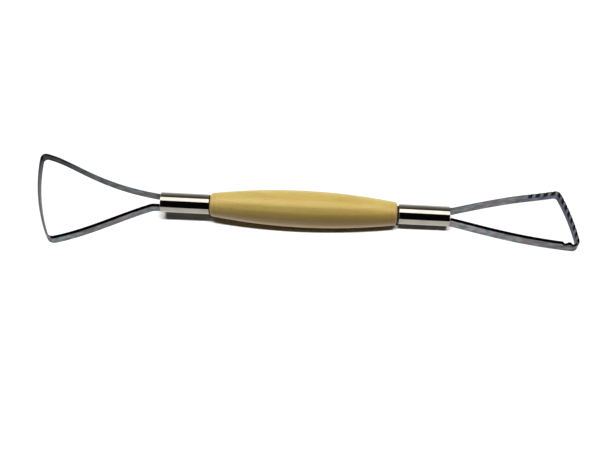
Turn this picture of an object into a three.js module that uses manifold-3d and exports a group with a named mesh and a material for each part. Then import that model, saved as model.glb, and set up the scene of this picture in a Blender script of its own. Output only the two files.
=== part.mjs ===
// Double-ended ribbon tool for trimming, hollowing and scoring clay.
//
// A turned wooden handle carries a plated ferrule on the tenon at each end. Each ferrule holds the two
// tangs of a bent steel ribbon, set in resin: a wide plain loop at one end, and a narrower loop with a
// serrated tip at the other.
//
// Units are millimetres. +X runs along the handle to the serrated loop, +Y runs across the loops, and +Z is
// the side that their ground edges face. The origin is on the handle's axis, halfway between the two tips.

import * as THREE from "three";
import { mergeVertices, toCreasedNormals } from "three/addons/utils/BufferGeometryUtils.js";
import Module from "manifold-3d";

// Driving dimensions of the handle
const handleLength = 69.5;
const handleDiameter = 13.8;
const handleEdgeRadius = 0.9;
const tenonLength = 11.5;
const tenonChamfer = 0.5;

// Driving dimensions of the ferrules. A rim's rounding takes no more than a share of the wall, and the
// barrel's end stands proud of the ferrule all round.
const ferruleDiameter = 7.5;
const ferruleWall = 0.3;
const plainFerruleLength = 18.2;
const serratedFerruleLength = 18.7;
const ferruleRimRadius = 0.12;
const largestRimShare = 0.4;
const shoulderStep = 0.5;
const plainJointGap = 0.3;
const serratedJointGap = 0.7;

// Driving dimensions of the ribbons, which are bent from strip with one edge ground to a bevel. All tangs
// are the same length, and stop short of the shorter ferrule's inner end.
const stripThickness = 0.7;
const bevelHeight = 0.9;
const plainStripWidth = 4.3;
const serratedStripWidth = 5.2;
const tangWidth = 3.0;
const tangSetback = 2.8;
const mouthBendRadius = 5;

// Driving dimensions of the teeth, which start and stop on the legs at these distances from the corners
const toothPitch = 2.9;
const toothDepth = 1.2;
const gulletFloor = 0.3;
const gulletFlank = 0.95;
const teethBeforeTip = 9.4;
const teethAfterTip = 3.2;

// Clearances of the tenon, the tangs and the resin, and how far the resin's dished face lies in the mouth
const slipFit = 0.25;
const resinRecess = 0.7;
const resinMeniscus = 0.35;

// The plan of each loop, seen from +Z with the ferrule's mouth at zero and the loop reaching out along
// its own +x. A corner is a point of the strip's middle line: reach is its distance from the mouth, spread
// its distance from the axis. Slopes are degrees away from the axis. Fullness says how far along a leg
// each end's slope carries. The bow is how far the tip curves out from a straight line.
const plainLoop = {
  stripWidth: plainStripWidth,
  tipBow: 2.1,
  firstLeg: {
    bendReach: 2.9,
    cornerReach: 39.0,
    cornerSpread: 18.8,
    cornerRadius: 2.6,
    startSlope: 23.5,
    endSlope: 16.5,
    startFullness: 0.33,
    endFullness: 0.33,
  },
  secondLeg: {
    bendReach: 1.0,
    cornerReach: 48.3,
    cornerSpread: 18.4,
    cornerRadius: 1.7,
    startSlope: 8,
    endSlope: 13,
    startFullness: 0.51,
    endFullness: 0.23,
  },
};
const serratedLoop = {
  stripWidth: serratedStripWidth,
  tipBow: 0.7,
  firstLeg: {
    bendReach: 1.1,
    cornerReach: 41.0,
    cornerSpread: 12.3,
    cornerRadius: 1.8,
    startSlope: 17,
    endSlope: 13,
    startFullness: 0.64,
    endFullness: 0.3,
  },
  secondLeg: {
    bendReach: 0.6,
    cornerReach: 47.0,
    cornerSpread: 10.5,
    cornerRadius: 1.7,
    startSlope: 12.6,
    endSlope: 4,
    startFullness: 0.23,
    endFullness: 0.45,
  },
};
const tipFullness = 1 / 3;

// Facet counts. The barrel has an odd number of steps, so that the tool rests on a facet in its middle.
const roundSegments = 48;
const barrelSteps = 21;
const rimSteps = 3;
const legSteps = 18;
const tipSteps = 12;
const bendSteps = 6;

// How near two vertices are to be one, and the sharpest turn that is still shaded smooth
const weldDistance = 1e-4;
const smoothTurn = Math.PI / 6;

// Sizes that follow from the driving ones
const boreRadius = ferruleDiameter / 2 - ferruleWall;
const tenonRadius = boreRadius - slipFit;
const tangOuter = Math.sqrt(tenonRadius ** 2 - (tangWidth / 2) ** 2);
const tangOffset = tangOuter - stripThickness / 2;
const flatOffset = tangOffset - stripThickness / 2 - slipFit;
const tangLength = Math.min(plainFerruleLength, serratedFerruleLength) - tangSetback;

const wasm = await Module();
wasm.setup();

// A closed geometry as a solid that can be joined and cut
function solidFrom(geometry) {
  const bare = geometry.clone();
  bare.deleteAttribute("normal");
  bare.deleteAttribute("uv");
  const merged = mergeVertices(bare, weldDistance);
  return new wasm.Manifold(
    new wasm.Mesh({
      numProp: 3,
      vertProperties: merged.getAttribute("position").array,
      triVerts: new Uint32Array(merged.getIndex().array),
    }),
  );
}

// A solid as a geometry again, shaded smooth except at its edges
function geometryFrom(solid) {
  const mesh = solid.getMesh();
  const geometry = new THREE.BufferGeometry();
  geometry.setAttribute("position", new THREE.BufferAttribute(mesh.vertProperties, 3));
  geometry.setIndex(new THREE.BufferAttribute(mesh.triVerts, 1));
  return toCreasedNormals(geometry, smoothTurn);
}

// Turns a path of (radius, distance along the axis) about the X axis. Lines take one step, and curves as
// many as stepsFor gives. The first facet starts half a facet round, so that a flat one is lowest.
function turned(path, stepsFor) {
  const profile = [];
  for (const curve of path.curves) {
    const steps = curve.type === "LineCurve" ? 1 : stepsFor(curve);
    profile.push(...curve.getPoints(steps).slice(profile.length ? 1 : 0));
  }
  const halfFacet = Math.PI / roundSegments;
  return new THREE.LatheGeometry(profile, roundSegments, halfFacet).rotateZ(-Math.PI / 2);
}

// The two slabs beside a core, from the flats outwards, between two places along the axis
function besideFlats(start, end) {
  const thickness = ferruleDiameter;
  const slab = new THREE.BoxGeometry(end - start, thickness, ferruleDiameter * 2);
  slab.translate((start + end) / 2, flatOffset + thickness / 2, 0);
  const upper = solidFrom(slab);
  return upper.add(upper.rotate([180, 0, 0]));
}

// The handle's profile: from the axis out over a tenon and its shoulder, along the barrel, and back over
// the other tenon. The barrel is a parabola that is thickest in the middle.
function handleProfile() {
  const shoulder = handleLength / 2;
  const tenonEnd = shoulder + tenonLength;
  const endRadius = ferruleDiameter / 2 + shoulderStep;
  const middleRadius = handleDiameter / 2;
  const edge = Math.min(handleEdgeRadius, endRadius - tenonRadius);
  const edgePlace = shoulder - edge;
  const edgeDrop = middleRadius - (middleRadius - endRadius) * (edgePlace / shoulder) ** 2;
  const path = new THREE.Path();
  path.moveTo(0, -tenonEnd);
  path.lineTo(tenonRadius - tenonChamfer, -tenonEnd);
  path.lineTo(tenonRadius, -tenonEnd + tenonChamfer);
  path.lineTo(tenonRadius, -shoulder);
  path.lineTo(endRadius - edge, -shoulder);
  path.quadraticCurveTo(endRadius, -shoulder, edgeDrop, -edgePlace);
  path.quadraticCurveTo(2 * middleRadius - edgeDrop, 0, edgeDrop, edgePlace);
  path.quadraticCurveTo(endRadius, shoulder, endRadius - edge, shoulder);
  path.lineTo(tenonRadius, shoulder);
  path.lineTo(tenonRadius, tenonEnd - tenonChamfer);
  path.lineTo(tenonRadius - tenonChamfer, tenonEnd);
  path.lineTo(0, tenonEnd);
  return path;
}

// The barrel with a tenon at each end, whose flats leave room for the tangs
function makeHandle() {
  const shoulder = handleLength / 2;
  const longCurve = (curve) => (curve.getLength() > shoulder ? barrelSteps : bendSteps);
  const atRight = besideFlats(shoulder, shoulder + tenonLength + slipFit);
  const atLeft = atRight.rotate([0, 180, 0]);
  return geometryFrom(solidFrom(turned(handleProfile(), longCurve)).subtract(atRight.add(atLeft)));
}

// A thin tube with both rims rounded over, from zero out along x
function makeFerrule(length) {
  const outer = ferruleDiameter / 2;
  const rim = Math.min(ferruleRimRadius, ferruleWall * largestRimShare);
  const path = new THREE.Path();
  path.moveTo(boreRadius, rim);
  path.quadraticCurveTo(boreRadius, 0, boreRadius + rim, 0);
  path.lineTo(outer - rim, 0);
  path.quadraticCurveTo(outer, 0, outer, rim);
  path.lineTo(outer, length - rim);
  path.quadraticCurveTo(outer, length, outer - rim, length);
  path.lineTo(boreRadius + rim, length);
  path.quadraticCurveTo(boreRadius, length, boreRadius, length - rim);
  path.lineTo(boreRadius, rim);
  return turned(path, () => rimSteps);
}

// The resin between the two tangs, from the tenon's end to a dished face inside the mouth
function makeResin(jointGap, length) {
  const start = tenonLength - jointGap + slipFit;
  const face = length - resinRecess;
  const path = new THREE.Path();
  path.moveTo(0, start);
  path.lineTo(tenonRadius, start);
  path.lineTo(tenonRadius, face);
  path.quadraticCurveTo(tenonRadius / 2, face - resinMeniscus, 0, face - resinMeniscus);
  const plug = solidFrom(turned(path, () => bendSteps));
  return geometryFrom(plug.subtract(besideFlats(start - slipFit, face + slipFit)));
}

// A direction in the plan, from its angle in degrees
function direction(degrees) {
  const angle = THREE.MathUtils.degToRad(degrees);
  return new THREE.Vector2(Math.cos(angle), Math.sin(angle));
}

// The arc that rounds the corner where one direction turns into another, either way round
function roundedBend(corner, arrive, leave, radius) {
  const turn = THREE.MathUtils.euclideanModulo(leave - arrive + 180, 360) - 180;
  const side = Math.sign(turn);
  const setBack = radius * Math.tan(THREE.MathUtils.degToRad(Math.abs(turn) / 2));
  const start = corner.clone().addScaledVector(direction(arrive), -setBack);
  const centre = start.clone().addScaledVector(direction(arrive + 90 * side), radius);
  const from = THREE.MathUtils.degToRad(arrive - 90 * side);
  const to = THREE.MathUtils.degToRad(leave - 90 * side);
  return new THREE.ArcCurve(centre.x, centre.y, radius, from, to, side < 0);
}

// A smooth curve between two points that keeps a direction at each end
function flowing(start, startAngle, startFullness, end, endAngle, endFullness) {
  const span = start.distanceTo(end);
  const leaving = start.clone().addScaledVector(direction(startAngle), span * startFullness);
  const arriving = end.clone().addScaledVector(direction(endAngle), -span * endFullness);
  return new THREE.CubicBezierCurve(start, leaving, arriving, end);
}

// The strip's middle line in the plan: out along the first tang and leg, over the tip and back
function loopCurves(loop) {
  const { firstLeg: first, secondLeg: second } = loop;
  const firstCorner = new THREE.Vector2(first.cornerReach, first.cornerSpread);
  const secondCorner = new THREE.Vector2(second.cornerReach, -second.cornerSpread);
  const tip = secondCorner.clone().sub(firstCorner);
  const tipAngle = THREE.MathUtils.radToDeg(tip.angle());
  const tipSwing = THREE.MathUtils.radToDeg(2 * Math.atan((2 * loop.tipBow) / tip.length()));

  const firstMouth = new THREE.Vector2(first.bendReach, tangOffset);
  const secondMouth = new THREE.Vector2(second.bendReach, -tangOffset);
  const bends = [
    roundedBend(firstMouth, 0, first.startSlope, mouthBendRadius),
    roundedBend(firstCorner, first.endSlope, tipAngle + tipSwing, first.cornerRadius),
    roundedBend(secondCorner, tipAngle - tipSwing, 180 - second.endSlope, second.cornerRadius),
    roundedBend(secondMouth, 180 - second.startSlope, 180, mouthBendRadius),
  ];
  const starts = bends.map((bend) => bend.getPoint(0));
  const ends = bends.map((bend) => bend.getPoint(1));
  return {
    tangIn: new THREE.LineCurve(new THREE.Vector2(-tangLength, tangOffset), starts[0]),
    mouthOut: bends[0],
    firstLeg: flowing(
      ends[0], first.startSlope, first.startFullness,
      starts[1], first.endSlope, first.endFullness,
    ),
    firstCorner: bends[1],
    tip: flowing(
      ends[1], tipAngle + tipSwing, tipFullness,
      starts[2], tipAngle - tipSwing, tipFullness,
    ),
    secondCorner: bends[2],
    secondLeg: flowing(
      ends[2], 180 - second.endSlope, second.endFullness,
      starts[3], 180 - second.startSlope, second.startFullness,
    ),
    mouthIn: bends[3],
    tangOut: new THREE.LineCurve(ends[3], new THREE.Vector2(-tangLength, -tangOffset)),
  };
}

const stepsOn = {
  tangIn: 1,
  mouthOut: bendSteps,
  firstLeg: legSteps,
  firstCorner: bendSteps,
  tip: tipSteps,
  secondCorner: bendSteps,
  secondLeg: legSteps,
  mouthIn: bendSteps,
  tangOut: 1,
};

// Where the strip's cross-section stands along its middle line, with the direction across it, outwards
function loopStations(curves) {
  const stations = [];
  for (const [name, curve] of Object.entries(curves)) {
    const steps = stepsOn[name];
    for (let i = stations.length ? 1 : 0; i <= steps; i += 1) {
      const tangent = curve.getTangent(i / steps);
      stations.push({ point: curve.getPoint(i / steps), across: new THREE.Vector2(-tangent.y, tangent.x) });
    }
  }
  return stations;
}

// Lofts a closed section of (across, up) points through the stations and closes both ends
function lofted(stations, section) {
  const positions = [];
  for (const { point, across } of stations) {
    for (const [out, up] of section) {
      positions.push(point.x + across.x * out, point.y + across.y * out, up);
    }
  }
  const around = section.length;
  const indices = [];
  for (let i = 0; i + 1 < stations.length; i += 1) {
    for (let k = 0; k < around; k += 1) {
      const here = i * around + k;
      const beside = i * around + ((k + 1) % around);
      indices.push(here, beside, here + around, beside, beside + around, here + around);
    }
  }
  const last = (stations.length - 1) * around;
  for (let k = 1; k + 1 < around; k += 1) {
    indices.push(0, k + 1, k, last, last + k, last + k + 1);
  }
  const geometry = new THREE.BufferGeometry();
  geometry.setAttribute("position", new THREE.Float32BufferAttribute(positions, 3));
  geometry.setIndex(indices);
  return geometry;
}

// The strip's section: its inner face runs the full width up to the cutting edge, and the bevel is outside
function stripSection(width) {
  const half = stripThickness / 2;
  return [
    [-half, -width / 2],
    [half, -width / 2],
    [half, width / 2 - bevelHeight],
    [-half, width / 2],
  ];
}

// What is cut away above and below the tangs, so that the full strip shoulders against the ferrule
function tangShoulders(width) {
  const length = tangLength + 2 * slipFit;
  const height = (width - tangWidth) / 2 + slipFit;
  const block = new THREE.BoxGeometry(length, ferruleDiameter * 2, height);
  block.translate(slipFit - length / 2, 0, tangWidth / 2 + height / 2);
  const above = solidFrom(block);
  return above.add(above.rotate([180, 0, 0]));
}

// One gullet: a flat-bottomed V that crosses the strip at a place along its middle line
function gulletAt(point, tangent, topEdge) {
  const open = gulletFloor / 2 + gulletFlank;
  const above = slipFit;
  const flare = gulletFlank * (above / toothDepth);
  const shape = new THREE.Shape();
  shape.moveTo(-open - flare, above);
  shape.lineTo(-gulletFloor / 2, -toothDepth);
  shape.lineTo(gulletFloor / 2, -toothDepth);
  shape.lineTo(open + flare, above);
  const reach = stripThickness * 2;
  const cutter = new THREE.ExtrudeGeometry(shape, { depth: reach * 2, bevelEnabled: false });
  cutter.translate(0, 0, -reach);
  cutter.rotateX(Math.PI / 2);
  cutter.rotateZ(tangent.angle());
  cutter.translate(point.x, point.y, topEdge);
  return solidFrom(cutter);
}

// The gullets from just before the first corner, over the tip, to just past the second
function gulletsOn(curves, width) {
  const line = new THREE.CurvePath();
  line.curves = Object.values(curves);
  const lengths = line.getCurveLengths();
  const names = Object.keys(curves);
  const from = lengths[names.indexOf("firstLeg")] - teethBeforeTip;
  const to = lengths[names.indexOf("secondCorner")] + teethAfterTip;
  const spaces = Math.round((to - from) / toothPitch);
  const gullets = [];
  for (let i = 0; i <= spaces; i += 1) {
    const along = (from + ((to - from) * i) / spaces) / line.getLength();
    gullets.push(gulletAt(line.getPointAt(along), line.getTangentAt(along), width / 2));
  }
  return gullets;
}

function makeRibbon(loop, isSerrated) {
  const curves = loopCurves(loop);
  const strip = solidFrom(lofted(loopStations(curves), stripSection(loop.stripWidth)));
  let ribbon = strip.subtract(tangShoulders(loop.stripWidth));
  if (isSerrated) {
    for (const gullet of gulletsOn(curves, loop.stripWidth)) ribbon = ribbon.subtract(gullet);
  }
  return geometryFrom(ribbon);
}

// Finishes
const turnedWood = new THREE.MeshStandardMaterial({ color: 0xd8bc7c, roughness: 0.5, metalness: 0 });
const nickelPlate = new THREE.MeshStandardMaterial({ color: 0xc9c5ba, roughness: 0.15, metalness: 1 });
const groundSteel = new THREE.MeshStandardMaterial({ color: 0x6b6e74, roughness: 0.35, metalness: 1 });
const castResin = new THREE.MeshStandardMaterial({ color: 0x6a5230, roughness: 0.3, metalness: 0 });

function named(name, geometry, material) {
  const mesh = new THREE.Mesh(geometry, material.clone());
  mesh.name = name;
  return mesh;
}

// One end of the tool, reaching out along its own +x from the handle's shoulder
function makeEnd(prefix, loop, ferruleLength, jointGap, isSerrated) {
  const ferrule = named(`${prefix}_ferrule`, makeFerrule(ferruleLength), nickelPlate);
  ferrule.position.x = jointGap;
  const resin = named(`${prefix}_resin_plug`, makeResin(jointGap, ferruleLength), castResin);
  resin.position.x = jointGap;
  const ribbon = named(`${prefix}_ribbon`, makeRibbon(loop, isSerrated), groundSteel);
  ribbon.position.x = jointGap + ferruleLength;
  const end = new THREE.Group();
  end.add(ferrule, resin, ribbon);
  return end;
}

// How far an end reaches beyond the handle's shoulder
function reachOf(end) {
  return new THREE.Box3().setFromObject(end, true).max.x;
}

const tool = new THREE.Group();
const plainEnd = makeEnd("plain", plainLoop, plainFerruleLength, plainJointGap, false);
const serratedEnd = makeEnd("serrated", serratedLoop, serratedFerruleLength, serratedJointGap, true);
const handleCentre = (reachOf(plainEnd) - reachOf(serratedEnd)) / 2;

const handle = named("handle", makeHandle(), turnedWood);
handle.position.x = handleCentre;
plainEnd.position.x = handleCentre - handleLength / 2;
plainEnd.rotation.z = Math.PI;
serratedEnd.position.x = handleCentre + handleLength / 2;
tool.add(handle, plainEnd, serratedEnd);

export default tool;
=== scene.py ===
# %% [markdown]
# # A double-ended ribbon tool for clay
#
# A potter pulls this tool over leather-hard clay, and its steel loops take off shavings as a plane does on
# wood. A turned handle is in the middle. A plated tube at each end, the ferrule, holds the two tangs of a
# bent steel ribbon: a wide plain loop on the left, and a narrower one with a toothed tip on the right.
#
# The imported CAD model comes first, as a fixed frame. Its nodes say where everything goes, so the pieces
# made here need no fitting.

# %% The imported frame
import math

import bmesh
import bpy
from mathutils import Matrix, Vector
from mathutils.geometry import interpolate_bezier


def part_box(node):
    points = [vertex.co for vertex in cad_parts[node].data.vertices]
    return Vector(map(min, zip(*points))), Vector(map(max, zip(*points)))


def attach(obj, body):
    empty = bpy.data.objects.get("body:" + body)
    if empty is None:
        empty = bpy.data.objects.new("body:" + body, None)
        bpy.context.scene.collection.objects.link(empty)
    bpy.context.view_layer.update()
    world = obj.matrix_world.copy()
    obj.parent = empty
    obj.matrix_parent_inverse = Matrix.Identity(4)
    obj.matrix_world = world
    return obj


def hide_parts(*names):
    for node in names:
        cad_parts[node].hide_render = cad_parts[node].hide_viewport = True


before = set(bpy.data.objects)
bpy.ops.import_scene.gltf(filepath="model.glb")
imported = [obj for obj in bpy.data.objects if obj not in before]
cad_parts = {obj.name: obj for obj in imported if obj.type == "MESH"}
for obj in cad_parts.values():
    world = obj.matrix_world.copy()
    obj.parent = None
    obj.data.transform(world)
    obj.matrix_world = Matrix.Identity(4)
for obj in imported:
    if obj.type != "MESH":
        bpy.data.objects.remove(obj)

MM = 0.001
scene = bpy.context.scene
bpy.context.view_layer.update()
print("nodes:", ", ".join(sorted(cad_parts)))

# %% [markdown]
# Every piece is modelled in millimetres, because the tool's sizes are easy to read that way, and scaled to
# metres at the end. The piece's object stays at the origin and its place goes into the mesh, as on the CAD
# nodes, so that patterns on Object coordinates lie still in every view.
#
# Sizes of the real tool are written in small letters and in millimetres. Settings are in capitals: those of
# a mesh in millimetres too, and those of a finish or of the studio in metres.

# %% Putting a finished mesh into the scene
SHARP_ANGLE = 32


def add_piece(bm, name, materials, place):
    """Turns a bmesh in millimetres into a piece that rides on the tool."""
    bmesh.ops.transform(bm, matrix=Matrix.Scale(MM, 4) @ place, verts=bm.verts)
    open_edges = sum(1 for edge in bm.edges if not edge.is_manifold)
    mesh = bpy.data.meshes.new(name)
    bm.to_mesh(mesh)
    bm.free()
    for material in materials:
        mesh.materials.append(material)
    mesh.shade_smooth()
    mesh.set_sharp_from_angle(angle=math.radians(SHARP_ANGLE))
    piece = bpy.data.objects.new(name, mesh)
    scene.collection.objects.link(piece)
    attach(piece, "root")
    mesh.calc_loop_triangles()
    print(f"{name}: {len(mesh.loop_triangles)} triangles, {open_edges} open edges")
    return piece


# %% [markdown]
# Materials are small graphs of shader nodes. One helper makes a node, gives it its settings and fills its
# inputs, either with a value or with another node's output. The others stand for the few nodes that are
# used again and again. The graphs below then read from top to bottom, in the order in which the surface
# is built up.

# %% Making a material's nodes
def new_material(name):
    """A material, its node tree and the surface that the tree ends in."""
    material = bpy.data.materials.new(name)
    material.use_nodes = True
    return material, material.node_tree, material.node_tree.nodes["Principled BSDF"]


def fill(tree, node, inputs):
    """Links each input to another node's output, or sets it to a value."""
    for key, value in inputs.items():
        if isinstance(value, bpy.types.NodeSocket):
            tree.links.new(value, node.inputs[key])
        else:
            node.inputs[key].default_value = value
    return node


def add_node(tree, kind, inputs=None, **settings):
    """A new node. Its settings come first, because they decide what its inputs are."""
    node = tree.nodes.new("ShaderNode" + kind)
    for key, value in settings.items():
        setattr(node, key, value)
    return fill(tree, node, inputs or {})


# %% Helpers for numbers
def split(tree, vector):
    """The X, Y and Z of a vector."""
    return add_node(tree, "SeparateXYZ", {0: vector}).outputs


def math_node(tree, operation, first, second=0.0):
    return add_node(tree, "Math", {0: first, 1: second}, operation=operation).outputs[0]


def times(tree, first, second):
    return math_node(tree, "MULTIPLY", first, second)


def remap(tree, value, low, high, to_low=0.0, to_high=1.0):
    """Stretches the range from low to high to a new one, and goes no further at either end."""
    inputs = {"Value": value, "From Min": low, "From Max": high, "To Min": to_low, "To Max": to_high}
    return add_node(tree, "MapRange", inputs, clamp=True).outputs["Result"]


def mix_values(tree, factor, first, second):
    """Mixes two plain values, each a number or another node's output."""
    return add_node(tree, "Mix", {0: factor, 2: first, 3: second}, data_type="FLOAT").outputs[0]


# %% Helpers for patterns, colours and relief
def stretched(tree, coordinates, scale, shift=(0, 0, 0)):
    """The coordinates, scaled along each axis, so that a pattern is long one way and fine the other."""
    return add_node(tree, "Mapping", {"Vector": coordinates, "Scale": scale, "Location": shift}).outputs[0]


def noise(tree, vector, scale=1.0, detail=2.0, roughness=0.5):
    inputs = {"Vector": vector, "Scale": scale, "Detail": detail, "Roughness": roughness}
    return add_node(tree, "TexNoise", inputs).outputs["Fac"]


def blend(tree, factor, first, second, mode="MIX"):
    """Mixes two colours, each a tuple or another node's output."""
    inputs = {0: factor}
    for socket, colour in ((6, first), (7, second)):
        inputs[socket] = colour if isinstance(colour, bpy.types.NodeSocket) else (*colour, 1.0)
    return add_node(tree, "Mix", inputs, data_type="RGBA", blend_type=mode).outputs[2]


def laid_over(tree, colour, tint, pattern, low, high, amount):
    """Lays a tint over a colour: none where a pattern is low, and the amount where it is high."""
    return blend(tree, remap(tree, pattern, low, high, 0.0, amount), colour, tint)


def bump(tree, height, strength, distance):
    return add_node(tree, "Bump", {"Height": height, "Strength": strength, "Distance": distance}).outputs[0]


# %% [markdown]
# ## The handle
#
# The real handle is turned between centres from a pale, straight-grained stick, sanded and dipped in clear
# lacquer. A picture of wood wrapped round it would show a seam and the wrong end grain. A solid pattern
# in Object coordinates acts like the stick itself: the lathe cuts through its growth rings, so the rings
# run out in long tapering figures where the barrel narrows, with no seam anywhere.
#
# The stick's heart lies outside the barrel, so the rings cross it as gentle bands. On them lie the
# fibres, which are long noise, a few short dark pores and some brown flecks.

# %% The stick's growth rings
handle_low, handle_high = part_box("handle")
handle_middle = (handle_low.x + handle_high.x) / 2 / MM
RING_WIDTH = 0.0021
RING_WANDER = 0.09
HEART_OFFSET = (0.0, 0.021, 0.034)
WAVE_RADIANS = 20


def growth_rings(tree, place):
    """Rings about a line beside the barrel, which wander slowly along the grain."""
    # At a scale of one, the wave goes through 20 radians in a metre
    return add_node(tree, "TexWave", {
        "Vector": stretched(tree, place, (RING_WANDER, 1.0, 1.0), HEART_OFFSET),
        "Scale": 2 * math.pi / WAVE_RADIANS / RING_WIDTH,
        "Distortion": 3.4,
        "Detail": 2.0,
        "Detail Scale": 0.55,
    }, wave_type="RINGS", rings_direction="X", wave_profile="SAW").outputs["Fac"]


print("wood rings every", RING_WIDTH, "m")

# %% [markdown]
# Two more things have happened to the stick. The gouge left faint rings where it ran out at the barrel's two
# ends. The tenons are stained dark and matt by the glue, which shows only in the joint beside a ferrule.
# Their near-black colour also paints the shade that falls in that narrow joint.

# %% What the gouge and the glue have left, and the joint's painted shade
MARKED_ENDS = (0.0290, 0.0325)
DARK_TENON_RADIUS = 0.0036
DARK_TENON_FADE = 0.0003


def gouge_marks(tree, place):
    """Fine rings about the axis, which come in towards the barrel's ends."""
    along = math_node(tree, "SUBTRACT", split(tree, place)["X"], handle_middle * MM)
    ends = remap(tree, math_node(tree, "ABSOLUTE", along), *MARKED_ENDS)
    rings = noise(tree, stretched(tree, place, (2600, 40, 40)), detail=1.0)
    return times(tree, ends, remap(tree, rings, 0.40, 0.62, 0.0, 0.40))


def glue_stain_and_joint_shade(tree, place):
    """One inside the tenon's radius and zero outside it."""
    across = add_node(tree, "VectorMath", {0: place, 1: (0, 1, 1)}, operation="MULTIPLY").outputs[0]
    radius = add_node(tree, "VectorMath", {0: across}, operation="LENGTH").outputs["Value"]
    return remap(tree, radius, DARK_TENON_RADIUS - DARK_TENON_FADE, DARK_TENON_RADIUS, 1.0, 0.0)


# %% The wood
PALE_WOOD = (0.765, 0.592, 0.178)
RIPE_WOOD = (0.645, 0.455, 0.108)
LATE_WOOD = (0.50, 0.298, 0.064)
PORE = (0.30, 0.17, 0.045)
FLECK = (0.42, 0.21, 0.08)
GLUE_AND_JOINT_SHADE = (0.010, 0.005, 0.003)
LACQUER_ROUGHNESS = (0.38, 0.50)
GLUE_ROUGHNESS = 0.95


def make_wood():
    material, tree, surface = new_material("lacquered_turned_wood")
    place = add_node(tree, "TexCoord").outputs["Object"]
    fibres = noise(tree, stretched(tree, place, (150, 2600, 2600)), detail=3.0, roughness=0.6)
    streaks = noise(tree, stretched(tree, place, (14, 420, 420)))
    clouds = noise(tree, stretched(tree, place, (22, 90, 90)), detail=1.0)
    pores = noise(tree, stretched(tree, place, (420, 3000, 3000), (3, 1, 2)), detail=0.0)
    flecks = noise(tree, stretched(tree, place, (330, 1100, 1100), (5, 2, 7)), detail=1.0)
    stained_and_shaded = glue_stain_and_joint_shade(tree, place)

    colour = blend(tree, remap(tree, clouds, 0.3, 0.7), PALE_WOOD, RIPE_WOOD)
    colour = laid_over(tree, colour, LATE_WOOD, growth_rings(tree, place), 0.35, 1.0, 0.30)
    colour = laid_over(tree, colour, LATE_WOOD, streaks, 0.48, 0.75, 0.26)
    colour = laid_over(tree, colour, LATE_WOOD, fibres, 0.40, 0.80, 0.34)
    colour = laid_over(tree, colour, PORE, pores, 0.74, 0.82, 0.30)
    colour = laid_over(tree, colour, FLECK, flecks, 0.66, 0.76, 0.35)
    colour = blend(tree, gouge_marks(tree, place), colour, LATE_WOOD)
    # Near black on the tenons: the glue's stain, and painted shade in the joint beside each ferrule
    colour = blend(tree, stained_and_shaded, colour, GLUE_AND_JOINT_SHADE)

    lacquer = remap(tree, fibres, 0.3, 0.8, *LACQUER_ROUGHNESS)
    relief = math_node(tree, "ADD", times(tree, fibres, 0.6), streaks)
    fill(tree, surface, {
        "Base Color": colour,
        "Roughness": mix_values(tree, stained_and_shaded, lacquer, GLUE_ROUGHNESS),
        "Normal": bump(tree, relief, 0.12, 0.0002),
        "Specular IOR Level": 0.5,
        "Coat Weight": 0.28,
        "Coat Roughness": 0.30,
    })
    return material


wood = make_wood()
print("wood of", len(wood.node_tree.nodes), "nodes")

# %% [markdown]
# Turned work is a profile and one spin. The profile is a line of corners, as a turner would mark them on the
# stick, and the barrel between its shoulders follows a parabola. The shoulders are rounded with a bevel on
# their vertices, and a full spin about the X axis with use_merge makes the skin. The normals are
# recalculated after the merge, because a spun shell can come out inside out.

# %% Turning a profile
ROUND_STEPS = 128
TOUCHING = 1e-4


def chain(bm, corners):
    """An open line of edges through (along, radius) corners, above the X axis."""
    verts = [bm.verts.new((along, 0, radius)) for along, radius in corners]
    for pair in zip(verts, verts[1:]):
        bm.edges.new(pair)
    return verts


def round_corners(bm, verts, radius, segments):
    bmesh.ops.bevel(bm, geom=verts, offset=radius, offset_type="OFFSET", affect="VERTICES",
                    segments=segments, profile=0.5, material=-1)


def spin_about_x(bm):
    geometry = bm.verts[:] + bm.edges[:]
    bmesh.ops.spin(bm, geom=geometry, cent=(0, 0, 0), axis=(1, 0, 0), angle=2 * math.pi,
                   steps=ROUND_STEPS, use_merge=True)
    bmesh.ops.remove_doubles(bm, verts=bm.verts, dist=TOUCHING)
    bmesh.ops.recalc_face_normals(bm, faces=bm.faces)


# %% The barrel's profile
barrel_length = 69.5
barrel_radius = 6.9
barrel_end_radius = 4.25
barrel_swell = barrel_radius - barrel_end_radius
BARREL_STEPS = 60


def barrel_profile(shoulder):
    """Points of the bowed barrel from its left shoulder to its right one."""
    places = [shoulder * (2 * i / BARREL_STEPS - 1) for i in range(BARREL_STEPS + 1)]
    return [(along, barrel_end_radius + barrel_swell * (1 - (along / shoulder) ** 2)) for along in places]


# %% The turned handle
shoulder_rounding = 0.9
tenon_length = 11.5
tenon_radius = 3.2
tenon_flat = 1.88
tenon_chamfer = 0.5
SHOULDER_STEPS = 8
SLACK = 1e-3


def flatten_tenons(bm, shoulder):
    """Makes two flats on each tenon, which leave room for the ribbon's tangs."""
    for vert in bm.verts:
        if abs(vert.co.x) > shoulder - SLACK and abs(vert.co.y) > tenon_flat:
            radius = math.hypot(vert.co.y, vert.co.z)
            if radius < tenon_radius + SLACK:
                vert.co.y = math.copysign(tenon_flat, vert.co.y)


def make_handle():
    shoulder = barrel_length / 2
    end = shoulder + tenon_length
    right = [(shoulder, tenon_radius), (end - tenon_chamfer, tenon_radius),
             (end, tenon_radius - tenon_chamfer), (end, 0)]
    left = [(-along, radius) for along, radius in reversed(right)]
    bm = bmesh.new()
    verts = chain(bm, left + barrel_profile(shoulder) + right)
    round_corners(bm, [verts[len(left)], verts[-len(right) - 1]], shoulder_rounding, SHOULDER_STEPS)
    spin_about_x(bm)
    flatten_tenons(bm, shoulder)
    return bm


handle = add_piece(make_handle(), "turned_barrel_handle", [wood],
                   Matrix.Translation((handle_middle, 0, 0)))
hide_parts("handle")
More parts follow.
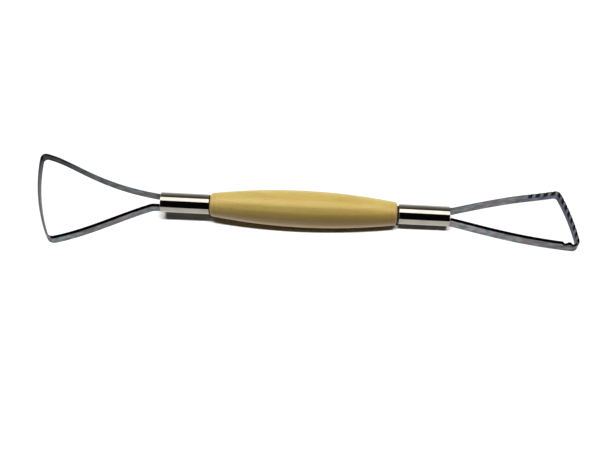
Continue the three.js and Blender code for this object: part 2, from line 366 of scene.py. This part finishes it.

# %% [markdown]
# ## The ferrules
#
# A ferrule is a short piece of drawn brass tube, nickel plated and buffed. It keeps the tenon from
# splitting when the loop is levered. What makes plating look real is not its colour but what it mirrors:
# one bright band, a painted reflection of the softbox on the world, a black one painted there for the dark
# room, and the floor's pale light underneath. The surface itself only adds faint draw lines along the tube,
# buffing swirls and a few smudges.

# %% The plating
NICKEL = (0.350, 0.326, 0.280)
SMUDGED_NICKEL = (0.302, 0.278, 0.240)
BUFFED_ROUGHNESS = (0.06, 0.11)


def make_plating():
    material, tree, surface = new_material("buffed_nickel_plate")
    place = add_node(tree, "TexCoord").outputs["Object"]
    draw_lines = noise(tree, stretched(tree, place, (60, 5200, 5200)), roughness=0.6)
    swirls = noise(tree, stretched(tree, place, (2600, 240, 240)), detail=3.0, roughness=0.55)
    smudges = noise(tree, place, scale=190.0, detail=3.0)
    marks = math_node(tree, "ADD", draw_lines, times(tree, swirls, 0.5))
    fill(tree, surface, {
        "Base Color": blend(tree, remap(tree, smudges, 0.35, 0.7), NICKEL, SMUDGED_NICKEL),
        "Metallic": 1.0,
        "Roughness": remap(tree, smudges, 0.3, 0.75, *BUFFED_ROUGHNESS),
        "Normal": bump(tree, marks, 0.05, 0.00006),
    })
    return material


plating = make_plating()
print("plating of", len(plating.node_tree.nodes), "nodes")

# %% [markdown]
# The tube's section is four corners: outside, inside and the two rims. The rims are rounded with the same
# vertex bevel as the handle's shoulders, so that they catch a thin glint. The tube is thin-walled and
# truly hollow, since one can look into the mouth between the two tangs.

# %% The two drawn tubes
ferrule_radius = 3.75
ferrule_wall = 0.3
ferrule_lengths = {"plain": 18.2, "serrated": 18.7}
rim_rounding = 0.12
RIM_STEPS = 4


def make_ferrule(length):
    bm = bmesh.new()
    bore = ferrule_radius - ferrule_wall
    corners = [(0, bore), (0, ferrule_radius), (length, ferrule_radius), (length, bore)]
    verts = chain(bm, corners)
    bm.edges.new((verts[-1], verts[0]))
    round_corners(bm, verts, rim_rounding, RIM_STEPS)
    spin_about_x(bm)
    return bm


for side, length in ferrule_lengths.items():
    node = f"{side}_ferrule"
    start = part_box(node)[0].x / MM
    tube = add_piece(make_ferrule(length), f"{side}_drawn_ferrule", [plating],
                     Matrix.Translation((start, 0, 0)))
    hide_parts(node)

# %% [markdown]
# ## The resin
#
# The tangs are set in resin, whose dished face is just inside each mouth. Its CAD solid already has the
# right shape, so it stays and only gets a finish: dark amber, with fine dust and trapped bubbles.

# %% The cast resin
DARK_AMBER = (0.055, 0.030, 0.012)
AMBER = (0.115, 0.066, 0.026)
BUBBLE = (0.22, 0.15, 0.08)


def make_resin():
    material, tree, surface = new_material("amber_casting_resin")
    place = add_node(tree, "TexCoord").outputs["Object"]
    dust = noise(tree, place, scale=420.0, detail=3.0)
    bubbles = add_node(tree, "TexVoronoi", {"Vector": place, "Scale": 1900.0}).outputs["Distance"]
    colour = blend(tree, remap(tree, dust, 0.3, 0.7), DARK_AMBER, AMBER)
    colour = blend(tree, remap(tree, bubbles, 0.10, 0.16, 0.5, 0.0), colour, BUBBLE)
    fill(tree, surface, {
        "Base Color": colour,
        "Roughness": remap(tree, dust, 0.3, 0.7, 0.16, 0.34),
        "Normal": bump(tree, bubbles, 0.2, 0.00008),
        "Coat Weight": 0.5,
        "Coat Roughness": 0.08,
    })
    return material


resin = make_resin()
for side in ferrule_lengths:
    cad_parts[f"{side}_resin_plug"].material_slots[0].material = resin
print("resin on", resin.users, "plugs")

# %% [markdown]
# ## The ribbons
#
# A ribbon starts as a flat strip of spring steel. One long edge is ground to a bevel, the teeth are cut
# into that edge, and only then is the strip bent round its loop. The mesh is made the same way, because the
# bent shape is hard to model and the flat one is easy: the strip's section is swept straight along X, its
# tangs are narrowed and its gullets sunk while it is flat, and one last step bends every ring of the strip
# on to the loop's middle line.
#
# A loop's plan is drawn with the ferrule's mouth at zero. Each leg bends away from its tang a little outside
# the mouth. Its reach and spread place the corner at its other end, which has a radius. Its two slopes, in
# degrees, are those at the mouth and at the corner, and its fullness says how far each of them carries. The
# tip runs from corner to corner with a bow.

# %% Sizes of the strips, and the plan of each loop
strip_thickness = 0.7
half_thickness = strip_thickness / 2
bevel_height = 0.9
edge_land = 0.07
tang_width = 3.0
tang_setback = 2.8
tang_length = min(ferrule_lengths.values()) - tang_setback
tang_offset = math.sqrt(tenon_radius ** 2 - (tang_width / 2) ** 2) - half_thickness
shoulder_gap = 0.25
strip_shoulder = tang_length + shoulder_gap
mouth_bend_radius = 5
tip_fullness = 1 / 3

plain_loop = {
    "width": 4.3,
    "bow": 2.1,
    "first": {"bend": 2.9, "reach": 39.0, "spread": 18.8, "radius": 2.6, "slopes": (23.5, 16.5),
              "fullness": (0.33, 0.33)},
    "second": {"bend": 1.0, "reach": 48.3, "spread": 18.4, "radius": 1.7, "slopes": (8, 13),
               "fullness": (0.51, 0.23)},
}
serrated_loop = {
    "width": 5.2,
    "bow": 0.7,
    "first": {"bend": 1.1, "reach": 41.0, "spread": 12.3, "radius": 1.8, "slopes": (17, 13),
              "fullness": (0.64, 0.3)},
    "second": {"bend": 0.6, "reach": 47.0, "spread": 10.5, "radius": 1.7, "slopes": (12.6, 4),
               "fullness": (0.23, 0.45)},
}
print("the tangs lie", round(tang_offset, 3), "mm off the axis")

# %% [markdown]
# The middle line goes straight along the first tang, through a bend at the mouth, out along the leg, round a
# corner, over the slightly bowed tip and back the same way. Corners are arcs. The legs and the tip are
# Bezier curves, whose handles are set by the slope at each end and by how far that slope carries.

# %% Arcs and curves in the plan
CURVE_POINTS = 160


def heading(degrees):
    return Vector((math.cos(math.radians(degrees)), math.sin(math.radians(degrees))))


def arc(corner, arrive, leave, radius):
    """The points of the arc that rounds the corner where one heading turns into another."""
    turn = (leave - arrive + 180) % 360 - 180
    side = math.copysign(1, turn)
    start = corner - heading(arrive) * radius * math.tan(math.radians(abs(turn) / 2))
    centre = start + heading(arrive + 90 * side) * radius
    steps = range(CURVE_POINTS + 1)
    return [centre - heading(arrive + 90 * side + turn * i / CURVE_POINTS) * radius for i in steps]


def flow(start, leave, fullness, end, arrive, end_fullness):
    """The points of the smooth curve from one point and heading to another."""
    span = (end - start).length
    handles = start + heading(leave) * span * fullness, end - heading(arrive) * span * end_fullness
    return [Vector(point) for point in interpolate_bezier(start, *handles, end, CURVE_POINTS)]


# %% The middle line of a loop
def middle_line(loop):
    """The stretches of the line, by name, each a list of points."""
    first, second = loop["first"], loop["second"]
    corners = Vector((first["reach"], first["spread"])), Vector((second["reach"], -second["spread"]))
    tip = corners[1] - corners[0]
    tip_heading = math.degrees(math.atan2(tip.y, tip.x))
    swing = math.degrees(2 * math.atan(2 * loop["bow"] / tip.length))
    mouths = Vector((first["bend"], tang_offset)), Vector((second["bend"], -tang_offset))

    mouth_out = arc(mouths[0], 0, first["slopes"][0], mouth_bend_radius)
    corner_one = arc(corners[0], first["slopes"][1], tip_heading + swing, first["radius"])
    corner_two = arc(corners[1], tip_heading - swing, 180 - second["slopes"][1], second["radius"])
    mouth_in = arc(mouths[1], 180 - second["slopes"][0], 180, mouth_bend_radius)
    return {
        "tang_out": [Vector((-tang_length, tang_offset)), mouth_out[0]],
        "mouth_out": mouth_out,
        "first_leg": flow(mouth_out[-1], first["slopes"][0], first["fullness"][0],
                          corner_one[0], first["slopes"][1], first["fullness"][1]),
        "corner_one": corner_one,
        "tip": flow(corner_one[-1], tip_heading + swing, tip_fullness,
                    corner_two[0], tip_heading - swing, tip_fullness),
        "corner_two": corner_two,
        "second_leg": flow(corner_two[-1], 180 - second["slopes"][1], second["fullness"][1],
                           mouth_in[0], 180 - second["slopes"][0], second["fullness"][0]),
        "mouth_in": mouth_in,
        "tang_in": [mouth_in[-1], Vector((-tang_length, -tang_offset))],
    }


# %% Measuring along the line
SAME_POINT = 1e-6


def measured(stretches):
    """The line's points with their distance from its start, and the distance at which each stretch ends."""
    places, marks = [(0.0, stretches["tang_out"][0])], {}
    for name, points in stretches.items():
        for point in points[1:]:
            step = (point - places[-1][1]).length
            if step > SAME_POINT:
                places.append((places[-1][0] + step, point))
        marks[name] = places[-1][0]
    return places, marks


plain_line, plain_marks = measured(middle_line(plain_loop))
serrated_line, serrated_marks = measured(middle_line(serrated_loop))
print("flat lengths in mm:", round(plain_line[-1][0], 1), round(serrated_line[-1][0], 1))

# %% [markdown]
# The teeth are what is left between gullets: flat-bottomed notches filed across the ground edge. They
# start on one leg, go round both corners and end on the other leg. Each gullet needs a ring of the strip
# at every kink of its outline, and the rest of the strip an even spacing that is fine enough for the bends.

# %% The gullets
tooth_pitch = 2.9
tooth_depth = 1.2
gullet_floor = 0.3
gullet_flank = 0.95
teeth_before_tip = 9.4
teeth_after_tip = 3.2


def gullet_middles(marks):
    start = marks["first_leg"] - teeth_before_tip
    end = marks["corner_two"] + teeth_after_tip
    spaces = round((end - start) / tooth_pitch)
    return [start + (end - start) * i / spaces for i in range(spaces + 1)]


def depth_at(along, gullets):
    """How far the ground edge is cut down at a place along the strip."""
    if not gullets:
        return 0.0
    off = max(min(abs(along - middle) for middle in gullets) - gullet_floor / 2, 0.0)
    return max(tooth_depth * (1 - off / gullet_flank), 0.0)


gullets = gullet_middles(serrated_marks)
print(len(gullets), "gullets, from", round(gullets[0], 1), "to", round(gullets[-1], 1), "mm")

# %% The places of the strip's rings
RING_SPACING = 0.35
SHOULDER_RAMP = 0.12


def kinks_of(length, gullets):
    """The places where the strip's outline changes direction."""
    ends = {0.0, length}
    shoulders = {strip_shoulder, strip_shoulder - SHOULDER_RAMP,
                 length - strip_shoulder, length - strip_shoulder + SHOULDER_RAMP}
    half_floor = gullet_floor / 2
    bevel_run_out = gullet_flank * (1 - bevel_height / tooth_depth)
    offs = (half_floor, half_floor + bevel_run_out, half_floor + gullet_flank)
    sides = {middle + side * off for middle in gullets for off in offs for side in (-1, 1)}
    return sorted(ends | shoulders | sides)


def ring_places(length, gullets):
    kinks = kinks_of(length, gullets)
    places = []
    for start, end in zip(kinks, kinks[1:]):
        steps = max(1, round((end - start) / RING_SPACING))
        places += [start + (end - start) * i / steps for i in range(steps)]
    return places + [length]


print(len(ring_places(serrated_line[-1][0], gullets)), "rings in the serrated strip")

# %% [markdown]
# The section is drawn once, as one face: the inner side runs the full width up to the cutting edge, and
# the bevel is ground on the outer side. The two back corners get a small bevel, as tumbled strip has. A
# spin with no angle and a step of one along X sweeps the face into a straight bar with a ring for each
# place. After that the rings only have to be moved.

# %% The straight bar
back_corner_rounding = 0.1
BACK_CORNER_STEPS = 3


def strip_section(bm, width):
    outline = [
        (-half_thickness, -width / 2),
        (half_thickness, -width / 2),
        (half_thickness, width / 2 - bevel_height),
        (-half_thickness + edge_land, width / 2),
        (-half_thickness, width / 2),
    ]
    verts = [bm.verts.new((0, out, up)) for out, up in outline]
    bm.faces.new(verts)
    round_corners(bm, verts[:2], back_corner_rounding, BACK_CORNER_STEPS)
    return bm.faces[:]


def sweep_section(bm, width, ring_count):
    faces = strip_section(bm, width)
    geometry = bm.verts[:] + bm.edges[:] + faces
    bmesh.ops.spin(bm, geom=geometry, cent=(0, 0, 0), axis=(1, 0, 0), angle=0.0,
                   steps=ring_count - 1, dvec=(1, 0, 0))
    bmesh.ops.remove_doubles(bm, verts=bm.verts, dist=TOUCHING)


# %% The flat strip with its tangs and teeth
def cut_down(vert, top, width):
    """Lowers a vertex of the ground edge to a height, sliding the outer one down the bevel."""
    if vert.co.z <= top:
        return
    if vert.co.y > -half_thickness + TOUCHING:
        drop = min((width / 2 - top) / bevel_height, 1.0)
        vert.co.y = max(vert.co.y, -half_thickness + edge_land + drop * (strip_thickness - edge_land))
    vert.co.z = top


def shape_flat_strip(bm, width, places, gullets):
    """Moves each ring to its place, narrows the tangs and sinks the gullets."""
    length = places[-1]
    ring = bm.verts.layers.int.new("ring")
    for vert in bm.verts:
        vert[ring] = round(vert.co.x)
        along = places[vert[ring]]
        vert.co.x = along
        if min(along, length - along) < strip_shoulder - SHOULDER_RAMP / 2:
            vert.co.z = max(vert.co.z, -tang_width / 2)
            cut_down(vert, tang_width / 2, width)
        else:
            cut_down(vert, width / 2 - depth_at(along, gullets), width)


# %% Bending the strip round its loop
def stations_on(line, places):
    """For each place, the point of the line there and the direction across it, outwards."""
    points = [point for _, point in line]
    befores, afters = points[:1] + points, points[1:] + points[-1:]
    headings = [(after - before).normalized() for before, after in zip(befores, afters)]
    stations, i = [], 0
    for along in places:
        while i < len(line) - 2 and line[i + 1][0] < along:
            i += 1
        share = (along - line[i][0]) / (line[i + 1][0] - line[i][0])
        course = headings[i].lerp(headings[i + 1], share).normalized()
        stations.append((points[i].lerp(points[i + 1], share), Vector((-course.y, course.x))))
    return stations


def bend_strip(bm, line, places):
    stations = stations_on(line, places)
    ring = bm.verts.layers.int["ring"]
    for vert in bm.verts:
        point, outwards = stations[vert[ring]]
        vert.co.x, vert.co.y = point + outwards * vert.co.y


# %% [markdown]
# Steel remembers what was done to it, so the mesh carries two attributes for its materials. One, called
# blank, keeps each vertex's place on the flat strip, measured from the cutting edge. The brushing then
# follows the strip round every bend, which Object coordinates can't do.
#
# The other, temper, says how bright the steel is made at each place along the strip, how dark its cutting
# edge is made there and how near a gullet is. The plain loop is darkest at the corner on its long side and
# clears along that leg towards the ferrule, where painted shade darkens it again at the mouth.

# %% How bright and how dark each place along a strip is made
GULLET_HALO = 1.25


def temper_keys(marks):
    """Places along each strip, with the brightness and the edge's darkness there, for straight slopes
    between them.
    """
    leg, corner, tip, back, mouth = (
        marks[name] for name in ("first_leg", "corner_one", "tip", "corner_two", "second_leg"))
    return {
        "plain": [(leg - 34, 1.1, 0), (leg - 26, 1.3, 0), (leg - 18, 0.95, 0), (leg - 11, 0.95, 0),
                  (leg - 5, 1.3, 0), (corner, 1.2, 0), (tip - 14, 1.25, 0), (tip - 5, 0.8, 0),
                  (tip - 2, 0.5, 0.8), (back, 0.36, 1), (back + 9, 0.5, 0.9), (back + 16, 0.70, 0),
                  # The two keys at the mouth darken the leg where it enters the ferrule: painted shade
                  (back + 23, 0.90, 0), (mouth - 2, 0.90, 0), (mouth + 1, 0.5, 0)],
        "serrated": [(leg - 36, 1.2, 0), (leg - 16, 1.15, 0), (leg - 12, 0.95, 0), (leg - 8, 1.05, 0),
                     (corner, 0.8, 0.3), (corner + 5, 0.9, 0), (tip, 1.1, 0), (back + 3, 1.0, 0),
                     (back + 22, 1.15, 0), (back + 36, 1.4, 0)],
    }


def between_keys(along, keys):
    """The brightness and the edge's darkness at a place."""
    for (start, *low), (end, *high) in zip(keys, keys[1:]):
        if along <= end:
            share = max((along - start) / (end - start), 0)
            return [first + (second - first) * share for first, second in zip(low, high)]
    return keys[-1][1:]


def gullet_nearness(along, gullets):
    """One in the middle of a gullet, about zero between two of them and minus one elsewhere."""
    off = min((abs(along - middle) for middle in gullets), default=math.inf)
    return max(1 - off / GULLET_HALO, -1.0)


# %% [markdown]
# Faces get their finish while the strip is flat, when a face's direction says which one it is. The flat
# sides and the back keep the mill's grain. Of the faces that look up, the bevel leans outwards and shows the
# grinding wheel, and the gullets and the narrow land on the cutting edge are made near black.

# %% Making a whole ribbon
STRIP, BEVEL, GULLET = 0, 1, 2
LEANING = 0.3


def finish_of(face):
    if face.normal.z <= LEANING:
        return STRIP
    return BEVEL if face.normal.y > LEANING else GULLET


def mark_steel(bm, width, places, gullets, keys):
    """Writes down where each vertex lies on the flat strip and how bright and dark it is made there."""
    ring = bm.verts.layers.int["ring"]
    blank = bm.verts.layers.float_vector.new("blank")
    temper = bm.verts.layers.float_vector.new("temper")
    edge = Vector((0, 0, width / 2))
    for vert in bm.verts:
        along = places[vert[ring]]
        vert[blank] = (vert.co - edge) * MM
        vert[temper] = [*between_keys(along, keys), gullet_nearness(along, gullets)]
    for face in bm.faces:
        face.material_index = finish_of(face)


def make_ribbon(loop, line, gullets, keys):
    width = loop["width"]
    places = ring_places(line[-1][0], gullets)
    bm = bmesh.new()
    sweep_section(bm, width, len(places))
    shape_flat_strip(bm, width, places, gullets)
    bmesh.ops.recalc_face_normals(bm, faces=bm.faces)
    mark_steel(bm, width, places, gullets, keys)
    bend_strip(bm, line, places)
    bm.normal_update()
    return bm


# %% [markdown]
# The toothed steel shows the most heat. Its inner side is blued, the tops of the teeth are greenish and
# their outer side is nearly black. The cutting edge is made near black, broadly where temper says so and as
# a thin line elsewhere, and so are the rims of the gullets, reaching lower on the inner side.

# %% Where the temper shows
EDGE_BLACK = (0.010, 0.012, 0.010)
BLUED = (0.94, 0.91, 1.15)
TOOTH_TOP = (0.215, 0.240, 0.195)
TOOTH_BACK = (0.030, 0.042, 0.028)

# The nearness to a gullet at which each thing begins and is complete
TOOTHED = (-0.6, -0.3)
NEAR_RIM = (0.05, 0.55)

# Where each thing begins and is complete on the blank: outwards through the strip, or up to the edge
INNER_SIDE = (-0.0002, -0.0001)
TOP_RISE = (-0.0018, -0.0010)
BACK_RISE = (-0.0010, -0.0008)
LINE_RISE = (-0.0004, -0.0001)
EDGE_BLACK_RISE = (-0.0011, -0.0007)
RIM_RISE = (-0.0021, -0.0015)
INNER_REACH = 0.0009


def tempered(tree, colour, blank, temper):
    """Blues and greens the toothed steel, and blackens the cutting edge and the rims of the gullets."""
    place, fared = split(tree, blank), split(tree, temper)
    inner = remap(tree, place["Y"], *INNER_SIDE, 1.0, 0.0)
    toothed = remap(tree, fared["Z"], *TOOTHED)
    inside = times(tree, toothed, inner)
    outside = times(tree, toothed, math_node(tree, "SUBTRACT", 1.0, inner))

    colour = blend(tree, inside, colour, BLUED, mode="MULTIPLY")
    tops = times(tree, inside, remap(tree, place["Z"], *TOP_RISE, 0.0, 0.7))
    colour = blend(tree, tops, colour, TOOTH_TOP)
    backs = times(tree, outside, remap(tree, place["Z"], *BACK_RISE, 0.0, 0.85))
    colour = blend(tree, backs, colour, TOOTH_BACK)

    colour = laid_over(tree, colour, EDGE_BLACK, place["Z"], *LINE_RISE, 0.5)
    dark_edge = times(tree, fared["Y"], remap(tree, place["Z"], *EDGE_BLACK_RISE))
    colour = blend(tree, dark_edge, colour, EDGE_BLACK)
    reach = math_node(tree, "ADD", place["Z"], times(tree, inner, INNER_REACH))
    near = remap(tree, fared["Z"], *NEAR_RIM, 0.0, 0.95)
    return blend(tree, times(tree, near, remap(tree, reach, *RIM_RISE)), colour, EDGE_BLACK)


# %% [markdown]
# All the steel is made in one way: light and dark patches, pinkish stains from the heat, long streaks and
# fine marks. Only the brushing's direction, the tints and the polish differ, so that the flat sides look
# rolled, the bevel ground across and the gullets near black.

# %% The steel
GRAZING_TINT = (0.40, 0.41, 0.43, 1.0)


def attribute(tree, name):
    return add_node(tree, "Attribute", attribute_name=name, attribute_type="GEOMETRY").outputs["Vector"]


def make_steel(name, tints, brushing, roughness, relief):
    """Spring steel; brushing is how the marks are stretched along, through and up the strip."""
    material, tree, surface = new_material(name)
    blank, temper = attribute(tree, "blank"), attribute(tree, "temper")
    marks = noise(tree, stretched(tree, blank, brushing), detail=3.0, roughness=0.65)
    streaks = noise(tree, stretched(tree, blank, (260, 500, 1500)))
    patches = noise(tree, stretched(tree, blank, (340, 400, 560)))
    heat = noise(tree, stretched(tree, blank, (170, 80, 260)))
    light, dark, pink, line = tints
    colour = blend(tree, remap(tree, patches, 0.38, 0.62), light, dark)
    colour = laid_over(tree, colour, pink, heat, 0.48, 0.60, 0.7)
    colour = laid_over(tree, colour, line, streaks, 0.47, 0.66, 0.6)
    colour = laid_over(tree, colour, line, marks, 0.35, 0.75, 0.35)
    toned = add_node(tree, "VectorMath", {0: colour, 3: split(tree, temper)["X"]}, operation="SCALE")
    fill(tree, surface, {
        "Base Color": tempered(tree, toned.outputs[0], blank, temper),
        "Metallic": 1.0,
        "Specular Tint": GRAZING_TINT,
        "Roughness": remap(tree, marks, 0.3, 0.75, *roughness),
        "Normal": bump(tree, marks, relief, 0.00005),
    })
    return material


# %% The three finishes
strip_steel = make_steel(
    "rolled_spring_steel",
    [(0.248, 0.267, 0.266), (0.124, 0.135, 0.141), (0.217, 0.172, 0.174), (0.060, 0.064, 0.073)],
    brushing=(90, 3800, 3800), roughness=(0.26, 0.42), relief=0.22)
bevel_steel = make_steel(
    "ground_bevel_steel",
    [(0.250, 0.260, 0.268), (0.160, 0.170, 0.178), (0.220, 0.200, 0.205), (0.110, 0.115, 0.122)],
    brushing=(4200, 300, 300), roughness=(0.07, 0.12), relief=0.08)
gullet_steel = make_steel(
    "dark_gullet_steel",
    [(0.016, 0.018, 0.016), (0.008, 0.009, 0.009), (0.014, 0.013, 0.011), (0.004, 0.005, 0.004)],
    brushing=(700, 5200, 900), roughness=(0.28, 0.4), relief=0.3)
finishes = [strip_steel, bevel_steel, gullet_steel]
print(len(finishes), "finishes of steel")

# %% [markdown]
# Each loop was drawn with the ferrule's mouth at zero. The serrated one only has to be moved to its mouth.
# The plain one is turned half round about the vertical first, which keeps its ground edge upwards.

# %% The two ribbons
plain_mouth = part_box("plain_ferrule")[0].x / MM
serrated_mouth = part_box("serrated_ferrule")[1].x / MM
at_plain_mouth = Matrix.Translation((plain_mouth, 0, 0)) @ Matrix.Rotation(math.pi, 4, "Z")
at_serrated_mouth = Matrix.Translation((serrated_mouth, 0, 0))
ribbons = {
    "plain": (plain_loop, plain_line, plain_marks, [], at_plain_mouth),
    "serrated": (serrated_loop, serrated_line, serrated_marks, gullets, at_serrated_mouth),
}
for side, (loop, line, marks, cuts, place) in ribbons.items():
    node = f"{side}_ribbon"
    strip = make_ribbon(loop, line, cuts, temper_keys(marks)[side])
    ribbon = add_piece(strip, f"{side}_bent_ribbon", finishes, place)
    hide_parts(node)
    low, high = (Vector(corner) for corner in (ribbon.bound_box[0], ribbon.bound_box[6]))
    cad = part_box(node)
    print(f"{side} ribbon against its node, in mm:",
          [round((ours - theirs) / MM, 3) for ours, theirs in zip([*low, *high], [*cad[0], *cad[1]])])

# %% [markdown]
# ## The studio
#
# The tool lies on a white sheet in a dark studio. The real one seems to rest on its barrel and its right
# loop, a little tilted. The frame keeps the tool level, so the sheet slopes up to the right instead, and is
# laid against the bowed barrel as a tangent.
#
# The sheet has two looks. The camera, mirrors and glass see plain white. The rays that only carry light
# meet a darker card, which lights the tool from below less than white paper would. Where the tool nearly
# touches the sheet, an ambient occlusion node darkens the white, because a shadow is deepest in the joint.

# %% Laying the sheet
SHEET_SIZE = 0.5
SHEET_SLOPE = 0.028
SHEET_DROP = (SHEET_SLOPE * barrel_length) ** 2 / (16 * barrel_swell)
SHEET_HEIGHT = -(barrel_radius + SHEET_DROP) * MM


def make_sheet():
    bm = bmesh.new()
    bmesh.ops.create_grid(bm, x_segments=1, y_segments=1, size=SHEET_SIZE / 2)
    bmesh.ops.rotate(bm, verts=bm.verts, matrix=Matrix.Rotation(-math.atan(SHEET_SLOPE), 3, "Y"))
    bmesh.ops.translate(bm, verts=bm.verts, vec=(handle_middle * MM, 0, SHEET_HEIGHT))
    return bm


def add_stage(bm, name, material):
    mesh = bpy.data.meshes.new(name)
    bm.to_mesh(mesh)
    bm.free()
    mesh.materials.append(material)
    made = bpy.data.objects.new(name, mesh)
    scene.collection.objects.link(made)
    return made


# %% The sheet's two looks
SHEET_LEVEL = 2.0
CARD = [(0.174, 0.141, 0.127), (0.188, 0.155, 0.141)]
WHITE = [(1.01 / SHEET_LEVEL,) * 3, (1.03 / SHEET_LEVEL,) * 3]
CONTACT_REACH = 0.003
CONTACT_CLEAR = (0.15, 0.65)
CONTACT_AMOUNT = 0.75
CONTACT_TONE = (0.20, 0.11, 0.07)


def seen_ray(tree):
    """One for the rays of the camera, of mirrors and of glass, zero for the rays that only carry light."""
    ray = add_node(tree, "LightPath").outputs
    seen = math_node(tree, "MAXIMUM", ray["Is Camera Ray"], ray["Is Glossy Ray"])
    return math_node(tree, "MAXIMUM", seen, ray["Is Transmission Ray"])


def make_sheet_material():
    material, tree, surface = new_material("white_sheet")
    place = add_node(tree, "TexCoord").outputs["Object"]
    tooth = noise(tree, place, scale=900.0)
    clear = add_node(tree, "AmbientOcclusion", {"Distance": CONTACT_REACH}).outputs["AO"]
    contact = remap(tree, clear, *CONTACT_CLEAR, CONTACT_AMOUNT, 0.0)
    white = blend(tree, contact, blend(tree, tooth, *WHITE), CONTACT_TONE)
    colour = blend(tree, seen_ray(tree), blend(tree, tooth, *CARD), white)
    fill(tree, surface, {"Base Color": colour, "Roughness": 0.9, "Specular IOR Level": 0.0})
    return material


sheet = add_stage(make_sheet(), "white_sheet", make_sheet_material())
print("the sheet lies at", round(SHEET_HEIGHT / MM, 2), "mm")

# %% [markdown]
# A long softbox leans behind the tool and models the wood from pale to brown. Its broad shadow would grey
# the sheet in front, so other lamps light the sheet alone, from almost overhead, and leave just the tight
# dark shadow of the contact. Light linking says which lamp lights what. The thin loops stand well clear of
# the sheet, so nine tenths of the sheet's light throw no shadow of them.

# %% A softbox that lights only some of the pieces
def light_group(name, pieces):
    group = bpy.data.collections.new(name)
    for piece in pieces:
        group.objects.link(piece)
    return group


def add_softbox(name, level, lit, angle, distance, length, depth):
    """A softbox over the axis, at an angle up from the front. Its level holds at any distance."""
    data = bpy.data.lights.new(name, "AREA")
    data.shape = "RECTANGLE"
    data.size, data.size_y = length, depth
    data.energy = level * (math.pi * distance) ** 2
    softbox = bpy.data.objects.new(name, data)
    scene.collection.objects.link(softbox)
    around = math.radians(angle)
    softbox.location = (0, -distance * math.cos(around), distance * math.sin(around))
    softbox.rotation_euler = (around - math.pi / 2, 0, 0)
    softbox.visible_glossy = False
    softbox.light_linking.receiver_collection = lit
    return softbox


# %% The lamps
TOOL_LAMP = {"angle": 114, "distance": 1.0, "length": 1.2, "depth": 0.6}
TOOL_LEVEL = 1.62
SHEET_LAMP = {"angle": 82, "distance": 2.0, "length": 1.0, "depth": 0.14}
SHEET_FULL = 1.25 * SHEET_LEVEL
LOOP_SHADOW = 0.1

tool_meshes = [piece for piece in scene.objects if piece.type == "MESH" and piece is not sheet]
thick_meshes = [piece for piece in tool_meshes if "ribbon" not in piece.name]
the_tool, the_sheet = light_group("the_tool", tool_meshes), light_group("the_sheet", [sheet])
add_softbox("tool_softbox", TOOL_LEVEL, the_tool, **TOOL_LAMP)
add_softbox("sheet_soft_fill", LOOP_SHADOW * SHEET_FULL, the_sheet, **SHEET_LAMP)
over_sheet = add_softbox("sheet_softbox", (1 - LOOP_SHADOW) * SHEET_FULL, the_sheet, **SHEET_LAMP)
over_sheet.light_linking.blocker_collection = light_group("shadow_makers", thick_meshes)
print("lamps for", len(tool_meshes), "meshes and the sheet")

# %% [markdown]
# The plating mirrors the whole studio: the sheet below, the dark room in front, the softbox above and a dim
# back wall that grows paler towards the sheet. So the room is painted on the world, for mirrors only, as
# bands of brightness by the angle about the tool's axis, from the front horizon over the top to the back
# one, with a pale wall on the left. The camera sees plain white there.

# %% What mirrors see of the room
LEFT_WALL = 0.9
LEFT_WALL_EDGE = (0.42, 0.55)
BANDS = [(0, 0.005), (78, 0.005), (79, 3.2), (119, 3.2), (120, 0.09), (140, 0.14), (158, 0.35), (180, 0.62)]


def mirrored_room(tree):
    towards = split(tree, add_node(tree, "TexCoord").outputs["Generated"])
    around = math_node(tree, "ARCTAN2", towards["Z"], times(tree, towards["Y"], -1.0))
    degrees = times(tree, around, 180 / math.pi)
    brightness = BANDS[0][1]
    for (start, low), (end, high) in zip(BANDS, BANDS[1:]):
        if low != high:
            step = remap(tree, degrees, start, end, 0.0, high - low)
            brightness = math_node(tree, "ADD", brightness, step)
    wall = remap(tree, times(tree, towards["X"], -1.0), *LEFT_WALL_EDGE, 0.0, LEFT_WALL)
    return math_node(tree, "ADD", brightness, wall)


# %% The room
ROOM_LIGHT = 0.02

world = bpy.data.worlds.new("dark_studio")
world.use_nodes = True
scene.world = world
room = world.node_tree
ray = add_node(room, "LightPath").outputs
plain_white = math_node(room, "MAXIMUM", ray["Is Camera Ray"], ray["Is Transmission Ray"])
unmirrored = remap(room, plain_white, 0, 1, ROOM_LIGHT, 1.0)
strength = mix_values(room, ray["Is Glossy Ray"], unmirrored, mirrored_room(room))
fill(room, room.nodes["Background"], {"Color": (1, 1, 1, 1), "Strength": strength})
print(len(BANDS), "places in the room's bands")

# %% [markdown]
# The camera stands where it did for the photograph: 60 degrees above the sheet, a little to the right, with
# a long lens. Nothing here depends on where it stands.

# %% The camera
VIEW_AZIMUTH = 3.3626
VIEW_ELEVATION = 60.0
VIEW_DISTANCE = 0.360
LOOK_AT = Vector((-0.000537, -0.006898, 0.0))
LENS = 58.495

camera_data = bpy.data.cameras.new("camera")
camera_data.lens = LENS
camera_data.sensor_width = 36.0
camera_data.clip_start = 0.01
camera = bpy.data.objects.new("camera", camera_data)
scene.collection.objects.link(camera)
azimuth, elevation = math.radians(VIEW_AZIMUTH), math.radians(VIEW_ELEVATION)
back = Vector((math.sin(azimuth) * math.cos(elevation), -math.cos(azimuth) * math.cos(elevation),
               math.sin(elevation)))
camera.location = LOOK_AT + back * VIEW_DISTANCE
camera.rotation_mode = "QUATERNION"
camera.rotation_quaternion = (-back).to_track_quat("-Z", "Y")
scene.camera = camera
scene.view_settings.view_transform = "Standard"
print("camera at", [round(side, 4) for side in camera.location])
